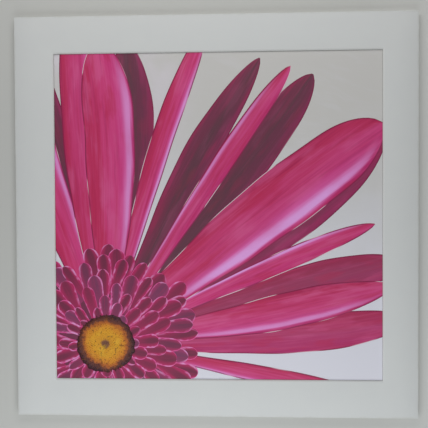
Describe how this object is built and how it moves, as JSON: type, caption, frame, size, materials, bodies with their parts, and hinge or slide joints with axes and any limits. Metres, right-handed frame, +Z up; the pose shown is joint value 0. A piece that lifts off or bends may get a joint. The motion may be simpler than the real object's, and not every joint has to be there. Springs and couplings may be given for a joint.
{
  "type": "matted picture",
  "caption": "Square painting of a single gerbera bloom on a canvas panel, behind a wide white bevelled window mat, with a foam backing board and adhesive hanging strips.",
  "frame": {"origin": "middle of the square picture, on the wall's face, which is the plane Y = 0", "axes": "+Z up, +X to the right seen from the front, +Y into the wall; the picture faces -Y"},
  "size_m": [0.6, 0.0117, 0.6],
  "materials": {
    "mat_board": "smooth matt white museum board, paler core at the bevel",
    "painted_canvas": "primed cotton canvas under a thin pale grey wash",
    "flower_paint": "acrylic paint in thin brushed films, magenta to plum, soft sheen",
    "eye_paint": "acrylic paint in raised dabs, ochre to brown, soft sheen",
    "grey_board": "grey pulp board",
    "kraft_paper": "brown kraft paper",
    "strip_board": "off-white board with cut edges",
    "foam_board": "white foam board, paper faces over a foam core",
    "double_sided_tape": "clear adhesive on tissue",
    "hook_plastic": "white moulded hook strip on foam tape"
  },
  "bodies": {
    "root": {"window_mat": "mat_board", "panel_core": "grey_board", "canvas": "painted_canvas", "panel_back_paper": "kraft_paper", "sink_strip_top": "strip_board", "backing_tape_top": "double_sided_tape", "mat_tape_top": "double_sided_tape", "sink_strip_bottom": "strip_board", "backing_tape_bottom": "double_sided_tape", "mat_tape_bottom": "double_sided_tape", "sink_strip_left": "strip_board", "backing_tape_left": "double_sided_tape", "mat_tape_left": "double_sided_tape", "sink_strip_right": "strip_board", "backing_tape_right": "double_sided_tape", "mat_tape_right": "double_sided_tape", "backing_board": "foam_board", "wall_strip_top_left": "hook_plastic", "picture_strip_top_left": "hook_plastic", "wall_strip_top_right": "hook_plastic", "picture_strip_top_right": "hook_plastic", "wall_strip_bottom_left": "hook_plastic", "picture_strip_bottom_left": "hook_plastic", "wall_strip_bottom_right": "hook_plastic", "picture_strip_bottom_right": "hook_plastic"}
  },
  "joints": []
}
